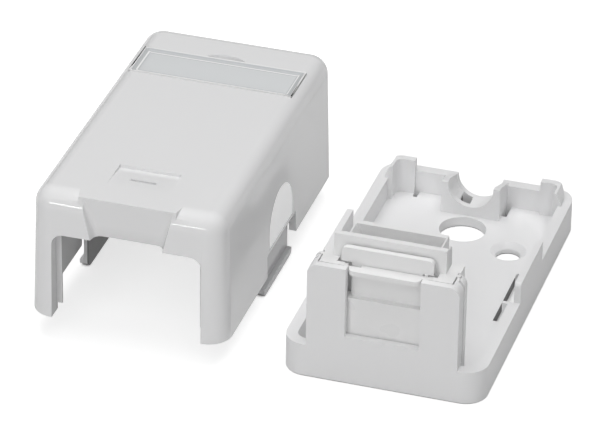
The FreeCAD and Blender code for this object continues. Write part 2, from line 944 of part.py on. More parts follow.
# The roof runs forward over the scoop as a brow with a sharp edge
brow = Outline(cover, "brow_outline", "XY", roof_under)
brow_front = front + size.scoop_top_depth
brow.shape(
    (-size.brow_half, brow_front),
    (size.brow_half, brow_front),
    (size.brow_rear_half, front + size.brow_rear),
    (-size.brow_rear_half, front + size.brow_rear),
)
pad(brow, size.cover_height)

cover_mouth = Outline(cover, "front_opening_outline", "XZ", front - 1)
cover_mouth.shape(
    (-opening_half, -1), (opening_half, -1),
    (opening_half, size.opening_height, size.opening_corner),
    (-opening_half, size.opening_height, size.opening_corner),
)
pocket(cover_mouth, front + size.scoop_depth + size.scoop_wall)

# The scoop's face leans out towards the brow, so that a fingertip lifts the cover.
# Its corners are rounded at the foot and nearly sharp under the brow.
def scoop_plan(name, level, half, depth, radius):
    """The scoop in plan at one height: open in front, rounded behind."""
    mouth = half + (depth + 1) * size.scoop_flare
    corner = []
    for step in range(SCOOP_STEPS + 1):
        turn = math.pi / 2 * step / SCOOP_STEPS
        corner.append((
            half - radius + radius * math.cos(turn),
            front + depth - radius + radius * math.sin(turn),
        ))
    mirrored = [(-x, y) for x, y in reversed(corner)]
    plan = Outline(cover, name, "XY", level)
    return plan.shape((-mouth, front - 1), (mouth, front - 1), *corner, *mirrored)


scoop_foot = scoop_plan(
    "scoop_foot_outline", size.opening_height,
    size.scoop_bottom_half, size.scoop_depth, size.scoop_round,
)
scoop_head = scoop_plan(
    "scoop_head_outline", size.cover_height,
    size.scoop_top_half, size.scoop_top_depth, size.scoop_top_round,
)
blend_between("front_scoop", scoop_foot, scoop_head, "PartDesign::SubtractiveLoft")

guide_ribs = Outline(cover, "guide_ribs_outline", "XY", size.guide_rib_start)
guide_ribs.both_sides(
    tower_half - size.guide_depth + size.slide_gap, opening_half + size.jamb_width / 2,
    guide_front + size.slide_gap, jamb_rear,
)
pad(guide_ribs, size.opening_height + size.jamb_width / 2)

# Latches that hang from the side walls
notch_top = size.tab_height + size.running_gap
notches = Outline(cover, "tab_notches_outline", "XY", 0)
notches.both_sides(
    half_width - size.rim_thickness, half_width + 1,
    tab_start - size.running_gap, tab_finish + size.tab_notch_rear_gap,
)
pocket(notches, notch_top)

latch_inner = latch_outer - size.latch_thickness
latch_foot = -size.latch_drop
hook_top = size.hook_height - size.latch_drop
root_outer = half_width - size.cover_wall + size.latch_root_width
for side, mark in ((1, "right"), (-1, "left")):
    root = Outline(cover, f"latch_root_{mark}_outline", "XZ", latch_start)
    root.shape(
        (latch_inner * side, notch_top),
        (latch_outer * side, notch_top),
        (root_outer * side, notch_top + size.latch_root_slope),
        (root_outer * side, size.latch_root),
        (latch_inner * side, size.latch_root),
    )
    pad(root, latch_finish)


def latch_layer(name, near, far, top):
    """One layer of a latch, with its two lower corners rounded."""
    layer = Outline(cover, name, "YZ", near)
    layer.shape(
        (latch_start, latch_foot, size.latch_corner),
        (latch_finish, latch_foot, size.latch_corner),
        (latch_finish, top),
        (latch_start, top),
    )
    pad(layer, far)


overlap = size.latch_thickness / 2
latch_layer("latch_right_outline", latch_inner, latch_outer, size.latch_root)
latch_layer("hook_right_outline", latch_outer - overlap, hook_tip, hook_top)
latch_layer("latch_left_outline", -latch_outer, -latch_inner, size.latch_root)
latch_layer("hook_left_outline", -hook_tip, -latch_outer + overlap, hook_top)

# Arch marks on both side walls: upright faces set into the sloping walls
arch_start = front + size.arch_from_face
arch_spring = size.arch_bottom + size.arch_height - size.arch_width / 2
arch_level = half_width - size.arch_mark
arch_right = Outline(cover, "arch_right_outline", "YZ", arch_level)
arch_right.arch(arch_start, arch_start + size.arch_width, size.arch_bottom, arch_spring)
pocket(arch_right, half_width + 1)
arch_left = Outline(cover, "arch_left_outline", "YZ", -(half_width + 1))
arch_left.arch(arch_start, arch_start + size.arch_width, size.arch_bottom, arch_spring)
pocket(arch_left, -arch_level)

# Label recess, its pry notch and the icon ramp in the roof
label_half = size.label_width / 2
label_front = front + size.label_from_face
label_back = label_front + size.label_depth
label_floor = size.cover_height - size.label_recess
recess = Outline(cover, "label_recess_outline", "XY", label_floor)
recess.box(-label_half, label_half, label_front, label_back)
pocket(recess, size.cover_height)

pry = Outline(cover, "pry_notch_outline", "XY", size.cover_height - size.pry_depth)
pry.circle(0, label_back + size.pry_reach - size.pry_radius, size.pry_radius)
pocket(pry, size.cover_height)

ramp = Outline(cover, "icon_ramp_outline", "YZ", -(size.icon_width / 2))
ramp.shape(
    (front + size.icon_front, size.cover_height),
    (front + size.icon_rear, size.cover_height - size.icon_depth),
    (front + size.icon_rear, size.cover_height + 1),
    (front + size.icon_front, size.cover_height + 1),
)
pocket(ramp, size.icon_width / 2)

icon_slot = Outline(
    cover, "icon_slot_outline", "XY", size.cover_height - size.icon_slot_depth,
)
icon_slot_front = front + size.icon_slot_from_face
icon_slot.box(
    -(size.icon_slot_width / 2), size.icon_slot_width / 2,
    icon_slot_front, icon_slot_front + size.icon_slot_size,
)
pocket(icon_slot, size.cover_height)

cable_arch = Outline(cover, "cable_arch_outline", "XZ", back - size.cover_wall * 2)
cable_arch.circle(0, size.cable_height - size.rim_height, size.cable_radius)
pocket(cable_arch, back + 1)


# ------------------------------------------------------- label window and card
pane = new_body("label_window")
pane_half = label_half - size.label_gap
pane_front = label_front + size.label_gap
pane_back = label_back - size.label_gap
pane_top = size.cover_height + size.label_proud

pane_plate = Outline(pane, "pane_outline", "XY", label_floor)
pane_plate.box(-pane_half, pane_half, pane_front, pane_back)
pad(pane_plate, pane_top)

field_low = Outline(pane, "field_outline", "XY", pane_top - size.label_field_drop)
field_low.box(
    -(pane_half - size.label_bevel_side), pane_half - size.label_bevel_side,
    pane_front + size.label_bevel_depth, pane_back - size.label_bevel_depth,
)
field_high = Outline(pane, "field_edge_outline", "XY", pane_top)
field_high.box(
    -(pane_half - size.label_gap), pane_half - size.label_gap,
    pane_front + size.label_gap, pane_back - size.label_gap,
)
blend_between("label_field", field_low, field_high, "PartDesign::SubtractiveLoft")

card_half = pane_half - size.label_bevel_side
card_front = pane_front + size.label_bevel_depth + size.label_bevel_depth / 2
card_back = pane_back - size.label_bevel_depth - size.label_bevel_depth / 2
card_top = label_floor + size.card_thickness
card_space = Outline(pane, "card_space_outline", "XY", label_floor)
card_space.box(
    -(card_half + size.card_margin), card_half + size.card_margin,
    card_front - size.card_margin, card_back + size.card_margin,
)
pocket(card_space, card_top)

card = new_body("label_card")
card_sheet = Outline(card, "card_outline", "XY", label_floor)
card_sheet.box(-card_half, card_half, card_front, card_back)
pad(card_sheet, card_top)


# ------------------------------------------------------------ places and files
# The cover stands beside the base on its latch hooks
cover_x = -(size.base_width + size.cover_gap)
for body in (cover, pane, card):
    body.setExpression("Placement.Base.x", cover_x.text)
    body.setExpression("Placement.Base.y", size.cover_shift.text)
    body.setExpression("Placement.Base.z", size.latch_drop.text)
doc.recompute()

for item in doc.Objects:
    assert "Invalid" not in item.State and "Error" not in item.State, item.Name

os.makedirs("parts", exist_ok=True)
for body in (base, frame, plug, cover, pane, card):
    shape = body.Shape
    assert not shape.isNull() and shape.isValid(), body.Label
    assert len(shape.Solids) == 1, body.Label
    box = shape.BoundBox
    print(
        f"{body.Label}: {shape.Volume:.1f} mm3, {len(shape.Faces)} faces, "
        f"x {box.XMin:.2f}..{box.XMax:.2f}, y {box.YMin:.2f}..{box.YMax:.2f}, "
        f"z {box.ZMin:.2f}..{box.ZMax:.2f}"
    )
    shape.exportStep(f"parts/{body.Label}.step")
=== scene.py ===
# %% [markdown]
# # A surface mount jack box in two halves
# A jack box is the small white plastic box on a wall that holds one network
# socket. Here its cover has been taken off and stands beside the base. The
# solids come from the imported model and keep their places; this lesson gives
# them their rounded edges, their plastics, a light and a camera.

# %% Load the solids
import math
import bpy
from mathutils import Matrix, Vector


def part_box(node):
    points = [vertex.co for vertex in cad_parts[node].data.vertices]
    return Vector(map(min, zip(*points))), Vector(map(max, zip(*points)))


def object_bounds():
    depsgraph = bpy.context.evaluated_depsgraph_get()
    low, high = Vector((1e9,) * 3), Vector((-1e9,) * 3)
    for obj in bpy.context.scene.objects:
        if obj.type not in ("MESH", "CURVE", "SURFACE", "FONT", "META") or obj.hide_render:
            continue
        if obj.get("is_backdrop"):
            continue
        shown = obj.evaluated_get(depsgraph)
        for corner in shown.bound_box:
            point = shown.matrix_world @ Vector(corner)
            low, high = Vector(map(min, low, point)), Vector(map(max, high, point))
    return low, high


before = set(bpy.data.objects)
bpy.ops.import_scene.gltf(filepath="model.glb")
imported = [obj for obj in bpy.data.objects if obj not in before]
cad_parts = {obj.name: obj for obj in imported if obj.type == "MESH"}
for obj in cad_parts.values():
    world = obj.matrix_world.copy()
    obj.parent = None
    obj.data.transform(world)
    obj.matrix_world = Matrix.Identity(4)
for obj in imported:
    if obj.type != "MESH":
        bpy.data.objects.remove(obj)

low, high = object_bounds()
MM = 0.001
print("pieces of the box:", sorted(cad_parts))

# %% [markdown]
# ## Where the cover, base and window lie
# A finish that belongs to one part of a moulding has to know where that part
# is. The boxes around three solids tell it: the cover's middle and front
# face, the base's middle and rear face, and the middle and half sizes of the
# label window. The finishes then follow the solids if the model moves them.

# %% Measure three solids
def across(node, axis):
    """A solid's lowest, highest and middle coordinate along one axis."""
    least, most = (corner[axis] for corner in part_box(node))
    return least, most, (least + most) / 2


X_AXIS, Y_AXIS = 0, 1
cover_middle = across("cover_shell", X_AXIS)[2]
cover_front = across("cover_shell", Y_AXIS)[0]
base_middle = across("base_tray", X_AXIS)[2]
base_rear = across("base_tray", Y_AXIS)[1]
window_left, window_right, window_middle_x = across("label_window", X_AXIS)
window_front, window_rear, window_middle_y = across("label_window", Y_AXIS)
print("cover middle and front, mm:", round(cover_middle / MM, 2), round(cover_front / MM, 2))
print("base middle and rear, mm:", round(base_middle / MM, 2), round(base_rear / MM, 2))

# %% [markdown]
# ## Where the camera stands
# The box is small, so the camera stands well back with a long lens: the
# sides then stay nearly parallel. Blender wants a place and a direction. The
# direction comes from two angles, how far round the object and how far above
# it, and a third angle rolls the camera a little.

# %% The camera
ROUND = math.radians(16.7707)
ABOVE = math.radians(30.8660)
ROLL = math.radians(0.9160)
AIM = Vector((-28.9044, 5.2947, 8.0)) * MM
DISTANCE = 880.59 * MM
LENS = 266.51

look = Vector((
    -math.sin(ROUND) * math.cos(ABOVE),
    math.cos(ROUND) * math.cos(ABOVE),
    -math.sin(ABOVE),
))
right = look.cross(Vector((0, 0, 1))).normalized()
up = right.cross(look)
rolled_right = math.cos(ROLL) * right + math.sin(ROLL) * up
rolled_up = math.cos(ROLL) * up - math.sin(ROLL) * right

camera_data = bpy.data.cameras.new("camera")
camera_data.sensor_width = 36
camera_data.lens = LENS
camera_data.clip_start = 0.05
camera_data.clip_end = 20
camera = bpy.data.objects.new("camera", camera_data)
bpy.context.scene.collection.objects.link(camera)
turn = Matrix((rolled_right, rolled_up, -look)).transposed().to_4x4()
camera.matrix_world = Matrix.Translation(AIM - look * DISTANCE) @ turn
bpy.context.scene.camera = camera
print("camera stands at", [round(c, 3) for c in camera.location])

# %% [markdown]
# ## Masks made from places
# A mask is a number between 0 and 1 that says where a finish applies. It
# could be a painted image, but that needs a file and an unwrapped surface.
# Here a few Math nodes compare the shaded point's own coordinates with
# lengths, so a mask is as sharp as the model and needs neither.

# %% Helpers for masks
def maths(tree, operation, first, second):
    """One Math node; each input may be a socket or a plain number."""
    node = tree.nodes.new("ShaderNodeMath")
    node.operation = operation
    for slot, value in enumerate((first, second)):
        if isinstance(value, (int, float)):
            node.inputs[slot].default_value = value
        else:
            tree.links.new(value, node.inputs[slot])
    return node.outputs[0]


def under(tree, value, most):
    """1 where a length is less than a limit."""
    return maths(tree, "LESS_THAN", value, most)


def over(tree, value, least):
    """1 where a length is more than a limit."""
    return maths(tree, "GREATER_THAN", value, least)


def between(tree, value, least, most):
    """1 where a length lies between two limits."""
    return maths(tree, "MULTIPLY", over(tree, value, least), under(tree, value, most))


def all_of(tree, mask, *others):
    """1 only where every mask is 1: they are multiplied together."""
    for other in others:
        mask = maths(tree, "MULTIPLY", mask, other)
    return mask


print("a mask multiplies its limits together")

# %% Helpers for places and colours
def position(tree):
    """The three coordinates of the shaded point, in metres."""
    place = tree.nodes.new("ShaderNodeTexCoord")
    axes = tree.nodes.new("ShaderNodeSeparateXYZ")
    tree.links.new(place.outputs["Object"], axes.inputs["Vector"])
    return axes.outputs["X"], axes.outputs["Y"], axes.outputs["Z"]


def off_centre(tree, value, centre):
    """How far a coordinate lies from a centre line, to either side."""
    return maths(tree, "ABSOLUTE", maths(tree, "SUBTRACT", value, centre), 0)


def recolour(tree, shader, mask, colour):
    """Blend another colour in where a mask is 1."""
    before = shader.inputs["Base Color"].links[0].from_socket
    blend = tree.nodes.new("ShaderNodeMix")
    blend.data_type = "RGBA"
    tree.links.new(mask, blend.inputs["Factor"])
    tree.links.new(before, blend.inputs["A"])
    blend.inputs["B"].default_value = (*colour, 1)
    tree.links.new(blend.outputs["Result"], shader.inputs["Base Color"])


def grey(level):
    """A neutral colour with full opacity."""
    return (level, level, level, 1)


print("places are read in metres, from the shaded point")

# %% [markdown]
# ## How plastic and paper begin
# One Principled shader can stand for most solid stuffs: its colour,
# roughness and coat make the difference between a plastic and a card. Real
# surfaces are never quite even, so a Noise texture varies them. It reads the
# solid's own coordinates, and so a cloud or a fibre stays where it is on the
# piece when the piece moves.

# %% Helpers for surfaces
def surface(name):
    """A new material, with its nodes and its Principled shader."""
    material = bpy.data.materials.new(name)
    material.use_nodes = True
    tree = material.node_tree
    return material, tree, tree.nodes["Principled BSDF"]


def noise(tree, scale, detail):
    """A Noise texture that is fixed to the solid."""
    place = tree.nodes.new("ShaderNodeTexCoord")
    texture = tree.nodes.new("ShaderNodeTexNoise")
    texture.inputs["Scale"].default_value = scale
    texture.inputs["Detail"].default_value = detail
    tree.links.new(place.outputs["Object"], texture.inputs["Vector"])
    return texture.outputs["Fac"]


def two_tones(tree, shader, share, first, second):
    """Colour the surface from one tone to another."""
    tint = tree.nodes.new("ShaderNodeMix")
    tint.data_type = "RGBA"
    tint.inputs["A"].default_value = (*first, 1)
    tint.inputs["B"].default_value = (*second, 1)
    tree.links.new(share, tint.inputs["Factor"])
    tree.links.new(tint.outputs["Result"], shader.inputs["Base Color"])


print("a surface starts with one Principled shader")

# %% [markdown]
# ## A white sweep that keeps its shadows
# The box lies on a white table, a fifth of a millimetre above it so that the
# two surfaces never flicker into one another. Light Path tells a material
# which kind of ray has reached it. Rays that are seen, straight or through
# something, meet a table that is lit as usual and also glows, so that it
# comes out white. Rays that only carry light meet a plain pale table, and
# mirrored ones a blend of the two. Ambient Occlusion takes the glow away
# only where a moulding closes the table off almost wholly, such as under
# the slots through the base, so that those stay deep.

# %% Which rays see the glow
MIRRORED_SHARE = 0.35


def seen_rays(tree):
    """1 for rays that are seen, a part for mirrored ones, 0 for all others."""
    path = tree.nodes.new("ShaderNodeLightPath")
    straight = path.outputs["Is Camera Ray"]
    through = path.outputs["Is Transmission Ray"]
    mirrored = maths(tree, "MULTIPLY", path.outputs["Is Glossy Ray"], MIRRORED_SHARE)
    return maths(tree, "MAXIMUM", maths(tree, "MAXIMUM", straight, through), mirrored)


print("mirrored rays see", MIRRORED_SHARE, "of the glow")

# %% A glow where the table is open
TABLE_GLOW = 0.70
SHADE_REACH = 12 * MM
SHADE_SAMPLES = 12
CLOSED_OFF = 0.12
WIDE_OPEN = 0.45


def open_glow(tree):
    """White light that fades out where something closes the surface off."""
    open_sky = tree.nodes.new("ShaderNodeAmbientOcclusion")
    open_sky.inputs["Distance"].default_value = SHADE_REACH
    open_sky.samples = SHADE_SAMPLES
    ramp = tree.nodes.new("ShaderNodeMapRange")
    ramp.interpolation_type = "SMOOTHSTEP"
    ramp.inputs["From Min"].default_value = CLOSED_OFF
    ramp.inputs["From Max"].default_value = WIDE_OPEN
    ramp.inputs["To Max"].default_value = TABLE_GLOW
    glow = tree.nodes.new("ShaderNodeEmission")
    tree.links.new(open_sky.outputs["AO"], ramp.inputs["Value"])
    tree.links.new(ramp.outputs["Result"], glow.inputs["Strength"])
    return glow.outputs[0]


print("an open table glows at", TABLE_GLOW)

# %% The sweep's material
SEEN_WHITE = 0.6
CARRIED_WHITE = 0.62


def sweep_material(name):
    """A pale matt surface that comes out white where nothing shades it."""
    material = bpy.data.materials.new(name)
    material.use_nodes = True
    tree = material.node_tree
    tree.nodes.clear()
    out = tree.nodes.new("ShaderNodeOutputMaterial")
    plain = tree.nodes.new("ShaderNodeBsdfDiffuse")
    plain.inputs["Color"].default_value = grey(CARRIED_WHITE)
    white = tree.nodes.new("ShaderNodeBsdfDiffuse")
    white.inputs["Color"].default_value = grey(SEEN_WHITE)
    seen = tree.nodes.new("ShaderNodeAddShader")
    tree.links.new(white.outputs[0], seen.inputs[0])
    tree.links.new(open_glow(tree), seen.inputs[1])
    mix = tree.nodes.new("ShaderNodeMixShader")
    tree.links.new(seen_rays(tree), mix.inputs["Fac"])
    tree.links.new(plain.outputs[0], mix.inputs[1])
    tree.links.new(seen.outputs[0], mix.inputs[2])
    tree.links.new(mix.outputs[0], out.inputs["Surface"])
    return material


print("the table reflects", SEEN_WHITE, "to the eye and", CARRIED_WHITE, "to the box")

# %% The table
TABLE_HALF = 1.6
TABLE_TOP = -0.2 * MM
table_corners = [
    (-TABLE_HALF, -TABLE_HALF, TABLE_TOP),
    (TABLE_HALF, -TABLE_HALF, TABLE_TOP),
    (TABLE_HALF, TABLE_HALF, TABLE_TOP),
    (-TABLE_HALF, TABLE_HALF, TABLE_TOP),
]
table_mesh = bpy.data.meshes.new("table_top")
table_mesh.from_pydata(table_corners, [], [(0, 1, 2, 3)])
table_mesh.materials.append(sweep_material("white_table"))
table = bpy.data.objects.new("table_top", table_mesh)
bpy.context.scene.collection.objects.link(table)
table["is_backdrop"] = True
print("table reaches", TABLE_HALF, "m each way")

# %% [markdown]
# ## The room
# Beyond the table the camera sees plain white, so the background has no
# edge. The light that the room itself gives is another matter: a little from
# everywhere softens the deepest shadows, and more of it from behind gives
# the glossy roof a faint sheen. A lamp behind would add shadows of its own,
# so one Map Range node makes that gradient from the direction instead.

# %% The room around the table
ROOM_IN_FRONT = 0.07
ROOM_BEHIND = 0.22

world = bpy.data.worlds.new("studio")
bpy.context.scene.world = world
world.use_nodes = True
tree = world.node_tree
tree.nodes.clear()
world_out = tree.nodes.new("ShaderNodeOutputWorld")
world_mix = tree.nodes.new("ShaderNodeMixShader")
room = tree.nodes.new("ShaderNodeBackground")
backdrop = tree.nodes.new("ShaderNodeBackground")
for shade in (room, backdrop):
    shade.inputs["Color"].default_value = grey(1)
direction = tree.nodes.new("ShaderNodeTexCoord")
axes = tree.nodes.new("ShaderNodeSeparateXYZ")
towards_the_back = tree.nodes.new("ShaderNodeMapRange")
towards_the_back.inputs["From Min"].default_value = -1
towards_the_back.inputs["To Min"].default_value = ROOM_IN_FRONT
towards_the_back.inputs["To Max"].default_value = ROOM_BEHIND
tree.links.new(direction.outputs["Generated"], axes.inputs["Vector"])
tree.links.new(axes.outputs["Y"], towards_the_back.inputs["Value"])
tree.links.new(towards_the_back.outputs["Result"], room.inputs["Strength"])
path = tree.nodes.new("ShaderNodeLightPath")
tree.links.new(path.outputs["Is Camera Ray"], world_mix.inputs["Fac"])
tree.links.new(room.outputs[0], world_mix.inputs[1])
tree.links.new(backdrop.outputs[0], world_mix.inputs[2])
tree.links.new(world_mix.outputs[0], world_out.inputs["Surface"])
print("room strength runs from", ROOM_IN_FRONT, "in front to", ROOM_BEHIND, "behind")

# %% [markdown]
# ## Soft lights
# Big lamps close to a small object give soft shading. The largest hangs over
# the table, so that the roof is the brightest face, and a broad panel in
# front fills the tray and the tower. The third is a thin strip, low and to
# the left, and the only one that shiny surfaces mirror: it draws the narrow
# line of light along the cover's rounded front shoulders.

# %% Lamps
middle = (low + high) / 2


def lamp(name, round_to, above, away, size, power, mirrored=False):
    """A rectangular soft lamp that faces the box from a direction.

    round_to turns from the front towards the right-hand side, in degrees.
    """
    data = bpy.data.lights.new(name, "AREA")
    data.shape = "RECTANGLE"
    data.size, data.size_y = size
    data.energy = power
    thing = bpy.data.objects.new(name, data)
    bpy.context.scene.collection.objects.link(thing)
    round_to, above = math.radians(round_to), math.radians(above)
    towards_it = Vector((
        math.sin(round_to) * math.cos(above),
        -math.cos(round_to) * math.cos(above),
        math.sin(above),
    ))
    thing.location = middle + towards_it * away
    thing.rotation_euler = (-towards_it).to_track_quat("-Z", "Y").to_euler()
    thing.visible_glossy = mirrored
    print(name, "gives", power, "W")


lamp("overhead", round_to=180, above=84, away=1.0, size=(1.0, 0.8), power=6.3)
lamp("front_panel", round_to=6, above=38, away=1.0, size=(1.0, 0.9), power=3.7)
lamp(
    "front_strip", round_to=-15, above=14, away=0.9, size=(0.34, 0.04), power=0.80,
    mirrored=True,
)

# %% [markdown]
# ## Rounded edges
# No moulded edge is perfectly sharp: the steel that formed it has small
# radii, and they catch a thin line of light. The solids arrive as triangles
# whose corners are not joined, so a Weld modifier joins them first. A Bevel
# modifier then rounds every edge that turns by more than 30 degrees, and
# Weighted Normal keeps the flat faces flat. The solid's own points stay as
# they are, because modifiers only change what is drawn.

# %% Round the pieces' edges
JOIN_WITHIN = 0.002 * MM
SHARP_TURN = math.radians(30)
EDGE_RADII = {
    "base_tray": 0.22 * MM,
    "port_frame": 0.16 * MM,
    "blanking_plug": 0.16 * MM,
    "cover_shell": 0.25 * MM,
    "label_window": 0.10 * MM,
}


def soften(node, radius):
    """Small radii along a solid's edges, as modifiers."""
    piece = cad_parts[node]
    weld = piece.modifiers.new("join_corners", "WELD")
    weld.merge_threshold = JOIN_WITHIN
    bevel = piece.modifiers.new("edge_radius", "BEVEL")
    bevel.width = radius
    bevel.segments = 2
    bevel.limit_method = "ANGLE"
    bevel.angle_limit = SHARP_TURN
    bevel.use_clamp_overlap = True
    even = piece.modifiers.new("flat_faces_stay_flat", "WEIGHTED_NORMAL")
    even.weight = 100
    even.keep_sharp = False
    for face in piece.data.polygons:
        face.use_smooth = True
    print(node, "gets edges of", round(radius / MM, 2), "mm")


for node, radius in EDGE_RADII.items():
    soften(node, radius)

# %% [markdown]
# ## White moulded plastic
# The mouldings are a white plastic, probably styrene. The colour is nearly
# even, but never a single value: the pigment clouds a little, and the steel
# leaves a faint grain. A Noise texture varies the roughness and colour
# slightly, and a second, finer one drives a very weak Bump. A Coat, where
# it is used, is a thin clear gloss over the colour.

# %% A plastic for the mouldings
PLASTIC_IOR = 1.5
CLOUD_SCALE = 60
CLOUD_DETAIL = 3
CLOUD_TINT = 0.99
SMOOTHEST = 0.85
ROUGHEST = 1.15
GRAIN_SCALE = 2600
FINE_DETAIL = 2
GRAIN_DEPTH = 0.02 * MM
COAT_ROUGHNESS = 0.06


def moulded_plastic(name, colour, roughness, grain, coat=0.0):
    """White moulded plastic with a slight cloud and a fine grain."""
    material, tree, shader = surface(name)
    shader.inputs["IOR"].default_value = PLASTIC_IOR
    shader.inputs["Coat Weight"].default_value = coat
    shader.inputs["Coat Roughness"].default_value = COAT_ROUGHNESS
    cloud = noise(tree, CLOUD_SCALE, CLOUD_DETAIL)
    clouded = [part * CLOUD_TINT for part in colour]
    two_tones(tree, shader, cloud, clouded, colour)
    rough = tree.nodes.new("ShaderNodeMapRange")
    rough.inputs["To Min"].default_value = roughness * SMOOTHEST
    rough.inputs["To Max"].default_value = roughness * ROUGHEST
    tree.links.new(cloud, rough.inputs["Value"])
    tree.links.new(rough.outputs["Result"], shader.inputs["Roughness"])
    bump = tree.nodes.new("ShaderNodeBump")
    bump.inputs["Strength"].default_value = grain
    bump.inputs["Distance"].default_value = GRAIN_DEPTH
    tree.links.new(noise(tree, GRAIN_SCALE, FINE_DETAIL), bump.inputs["Height"])
    tree.links.new(bump.outputs["Normal"], shader.inputs["Normal"])
    print(name, "has roughness", roughness, "and coat", coat)
    return material


# %% [markdown]
# ## The cover, and its frosted arches
# The cover is the glossiest moulding. On each side it has an arch, sunk half
# a millimetre and left rough, so it is matt, and it looks paler than the wall
# around it. Cutting it out as a piece of its own would be wrong, because it is
# one moulding. A mask finds the sunk face by its distance from the cover's
# middle, and makes it rougher, with no coat. Its pale tone is painted light:
# a whiter colour and a little light of its own lift it, which is not what
# rough plastic does by itself.

# %% The cover's plastic
SHELL_WHITE = (0.92, 0.92, 0.925)
COVER_COAT = 0.6
cover_plastic = moulded_plastic(
    "cover_plastic", SHELL_WHITE, roughness=0.16, grain=0.05, coat=COVER_COAT,
)
tree = cover_plastic.node_tree
shader = tree.nodes["Principled BSDF"]
x, y, z = position(tree)
sideways = off_centre(tree, x, cover_middle)
behind_front = maths(tree, "SUBTRACT", y, cover_front)

# %% Its frosted arches, paler by painted light
ARCH_FACE = (19.485 * MM, 19.515 * MM)
ARCH_HEIGHT = (9.8 * MM, 20.2 * MM)
ARCH_LENGTH = (28.69 * MM, 44.29 * MM)
ARCH_PAINTED_WHITE = (1.0, 1.0, 1.0)
ARCH_PAINTED_GLOW = 0.25
ARCH_ROUGHNESS = 0.7

arch = all_of(
    tree,
    between(tree, sideways, *ARCH_FACE),
    between(tree, z, *ARCH_HEIGHT),
    between(tree, behind_front, *ARCH_LENGTH),
)
# painted light: a whiter colour and a glow of its own lift the sunk face to its pale tone
recolour(tree, shader, arch, ARCH_PAINTED_WHITE)
tree.links.new(maths(tree, "MULTIPLY", arch, ARCH_PAINTED_GLOW), shader.inputs["Emission Strength"])
plain_roughness = shader.inputs["Roughness"].links[0].from_socket
arch_roughness = maths(tree, "MULTIPLY", arch, ARCH_ROUGHNESS)
roughness = maths(tree, "MAXIMUM", plain_roughness, arch_roughness)
tree.links.new(roughness, shader.inputs["Roughness"])
coat_taken = maths(tree, "MULTIPLY", arch, COVER_COAT)
coat_left = maths(tree, "SUBTRACT", COVER_COAT, coat_taken)
tree.links.new(coat_left, shader.inputs["Coat Weight"])
print("the arches begin", round(ARCH_LENGTH[0] / MM, 2), "mm behind the cover's front")

# %% [markdown]
# ## Deep shade, painted
# The shell's inside and the latch on its right-hand side look much darker
# on the real cover than the soft lamps here leave them. Harder lamps could
# darken them, but they would change every other face as well. So a darker
# colour is laid on by place: inside the shell, growing stronger over 4 mm
# behind the front opening, and on the right-hand latch. It is paint and not
# shadow, so it shows from every side.

# %% Shade inside the shell
HOLLOW_HALF_WIDTH = 17.6 * MM
HOLLOW_TOP = 27.5 * MM
HOLLOW_REAR = 70.29 * MM
SHADE_STARTS = 2.29 * MM
SHADE_FULL = 6.29 * MM
HOLLOW_SHARE = 0.9
HOLLOW_GREY = (0.20, 0.20, 0.20)

deeper = tree.nodes.new("ShaderNodeMapRange")
deeper.inputs["From Min"].default_value = SHADE_STARTS
deeper.inputs["From Max"].default_value = SHADE_FULL
deeper.inputs["To Max"].default_value = HOLLOW_SHARE
tree.links.new(behind_front, deeper.inputs["Value"])
hollow = all_of(
    tree,
    under(tree, sideways, HOLLOW_HALF_WIDTH),
    under(tree, z, HOLLOW_TOP),
    deeper.outputs["Result"],
    under(tree, behind_front, HOLLOW_REAR),
)
recolour(tree, shader, hollow, HOLLOW_GREY)
print("the hollow is", HOLLOW_SHARE, "of the way to", HOLLOW_GREY)

# %% Shade on the right-hand latch
LATCH_TOP = 9.8 * MM
LATCH_INNER = 17.0 * MM
LATCH_LENGTH = (27.39 * MM, 45.49 * MM)
LATCH_SHARE = 0.75
LATCH_GREY = (0.52, 0.52, 0.53)

latch = all_of(
    tree,
    under(tree, z, LATCH_TOP),
    over(tree, sideways, LATCH_INNER),
    between(tree, behind_front, *LATCH_LENGTH),
    over(tree, x, cover_middle),
    LATCH_SHARE,
)
recolour(tree, shader, latch, LATCH_GREY)
print("the right-hand latch is", LATCH_SHARE, "of the way to", LATCH_GREY)

# %% [markdown]
# ## The base, and its deep slots
# Two slots run through the floor of the base, one at each side, for the
# cover's latches. The trough for the cable has a small eye for a cable tie.
# All are narrow, and little light should come back out of them. As with the
# cover, that shade is painted: a near black is laid on their walls by place.

# %% The base's plastic
base_plastic = moulded_plastic("base_plastic", SHELL_WHITE, roughness=0.34, grain=0.10)
tree = base_plastic.node_tree
shader = tree.nodes["Principled BSDF"]
x, y, z = position(tree)
before_rear = maths(tree, "SUBTRACT", base_rear, y)

# %% Painted shade in the slots for the latches
SLOT_SIDES = (14.4 * MM, 19.3 * MM)
SLOT_LENGTH = (28.15 * MM, 50.15 * MM)
SLOT_TOP = 1.92 * MM
SLOT_PAINTED_SHADE = (0.05, 0.05, 0.05)

# painted shade: the slot walls are coloured near black where little light comes back out
slots = all_of(
    tree,
    between(tree, off_centre(tree, x, base_middle), *SLOT_SIDES),
    between(tree, before_rear, *SLOT_LENGTH),
    under(tree, z, SLOT_TOP),
)
recolour(tree, shader, slots, SLOT_PAINTED_SHADE)
print("slot walls are dark up to", round(SLOT_TOP / MM, 2), "mm")

# %% Painted shade in the eye for the cable tie
EYE_SIDES = (base_middle - 3.25 * MM, base_middle - 1.15 * MM)
EYE_LENGTH = (1.95 * MM, 6.75 * MM)
EYE_HEIGHT = (0.5 * MM, 2.7 * MM)
EYE_PAINTED_SHADE = (0.12, 0.12, 0.12)

# painted shade: the eye's walls are coloured dark where little light reaches them
eye = all_of(
    tree,
    between(tree, x, *EYE_SIDES),
    between(tree, before_rear, *EYE_LENGTH),
    between(tree, z, *EYE_HEIGHT),
)
recolour(tree, shader, eye, EYE_PAINTED_SHADE)
print("the tie's eye ends", round(EYE_LENGTH[1] / MM, 2), "mm before the base's rear")

# %% [markdown]
# ## Dress the four mouldings
# The socket's frame and its blanking plug are mouldings of their own, a
# touch greyer and a little shinier than the base. They need no masks.

